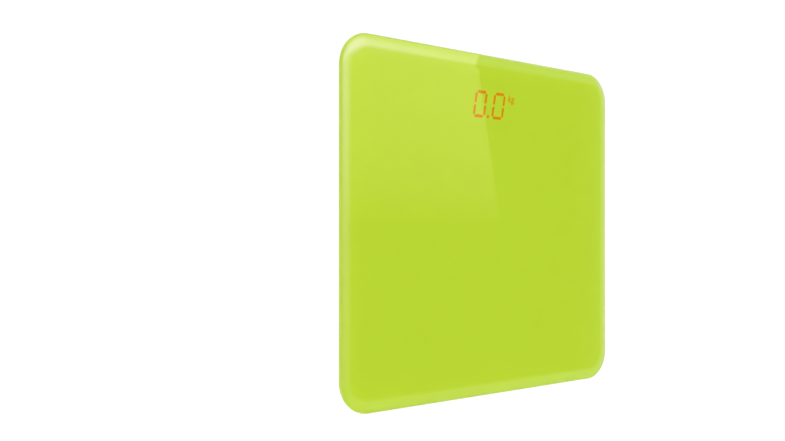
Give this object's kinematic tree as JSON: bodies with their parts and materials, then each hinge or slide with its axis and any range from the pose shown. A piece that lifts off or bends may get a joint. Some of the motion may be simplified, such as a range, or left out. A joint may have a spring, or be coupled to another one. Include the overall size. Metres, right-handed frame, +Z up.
{
  "type": "body weight scale",
  "caption": "Slim electronic body-weight scale with a coloured glass platform, hidden LED display, weighing feet and an AAA battery bay.",
  "frame": {"origin": "on the floor, at the centre of the platform's footprint", "axes": "+Z up from the feet to the glass, +X to the right along the long side, +Y towards the edge with the display"},
  "size_m": [0.3, 0.27, 0.025],
  "materials": {
    "glass": "polished tempered glass",
    "lime_film": "smooth back-coloured film",
    "foam": "closed-cell foam tape",
    "housing": "fine-grained moulded ABS",
    "holder": "moulded ABS",
    "foot_plastic": "moulded ABS",
    "rubber": "matt grip rubber",
    "steel": "nickel-plated steel",
    "screw": "zinc-plated steel",
    "board": "solder-masked glass-fibre laminate",
    "chip": "moulded epoxy",
    "mask": "matt black",
    "lens": "orange light guide",
    "button": "matt",
    "battery": "shrink sleeve",
    "cable": "PVC",
    "lead_red": "PVC",
    "lead_black": "PVC"
  },
  "bodies": {
    "housing": {"glass_platform": "glass", "colour_film": "lime_film", "bonding_tape": "foam", "carrier_plate": "housing", "bottom_cover": "housing", "circuit_board": "board", "controller_chip": "chip", "clock_crystal": "steel", "switch_body": "chip", "display_mask": "mask", "display_lens": "lens", "lead_positive": "lead_red", "lead_negative": "lead_black", "positive_contact": "steel", "negative_contact": "steel", "display_side_bridge": "steel", "near_side_bridge": "steel", "battery_left": "battery", "contact_spring_left": "steel", "battery_middle": "battery", "contact_spring_middle": "steel", "battery_right": "battery", "contact_spring_right": "steel", "cover_screw_1": "screw", "cover_screw_2": "screw", "cover_screw_3": "screw", "cover_screw_4": "screw", "cover_screw_5": "screw", "cover_screw_6": "screw", "board_screw_1": "screw", "board_screw_2": "screw", "load_cell_near_left": "steel", "cell_holder_near_left": "holder", "cell_cable_near_left": "cable", "load_cell_near_right": "steel", "cell_holder_near_right": "holder", "cell_cable_near_right": "cable", "load_cell_far_left": "steel", "cell_holder_far_left": "holder", "cell_cable_far_left": "cable", "load_cell_far_right": "steel", "cell_holder_far_right": "holder", "cell_cable_far_right": "cable"},
    "foot_near_left": {"foot_cup_near_left": "foot_plastic", "foot_pad_near_left": "rubber"},
    "foot_near_right": {"foot_cup_near_right": "foot_plastic", "foot_pad_near_right": "rubber"},
    "foot_far_left": {"foot_cup_far_left": "foot_plastic", "foot_pad_far_left": "rubber"},
    "foot_far_right": {"foot_cup_far_right": "foot_plastic", "foot_pad_far_right": "rubber"},
    "unit_button": {"unit_button": "button", "switch_plunger": "chip"},
    "battery_lid": {"battery_lid": "housing"}
  },
  "joints": [
    {"name": "foot_travel_near_left", "type": "slide", "parent": "housing", "child": "foot_near_left", "axis": [0, 0, 1], "range_m": [0, 0.0006], "stiffness_N_per_m": 200000, "deforming": ["load_cell_near_left"]},
    {"name": "foot_travel_near_right", "type": "slide", "parent": "housing", "child": "foot_near_right", "axis": [0, 0, 1], "range_m": [0, 0.0006], "stiffness_N_per_m": 200000, "deforming": ["load_cell_near_right"]},
    {"name": "foot_travel_far_left", "type": "slide", "parent": "housing", "child": "foot_far_left", "axis": [0, 0, 1], "range_m": [0, 0.0006], "stiffness_N_per_m": 200000, "deforming": ["load_cell_far_left"]},
    {"name": "foot_travel_far_right", "type": "slide", "parent": "housing", "child": "foot_far_right", "axis": [0, 0, 1], "range_m": [0, 0.0006], "stiffness_N_per_m": 200000, "deforming": ["load_cell_far_right"]},
    {"name": "button_press", "type": "slide", "parent": "housing", "child": "unit_button", "axis": [0, 0, 1], "range_m": [0, 0.0005], "stiffness_N_per_m": 3000},
    {"name": "lid_swing", "type": "hinge", "parent": "housing", "child": "battery_lid", "pos_m": [0, -0.038, 0.0068], "axis": [-1, 0, 0], "range_deg": [0, 80]}
  ]
}
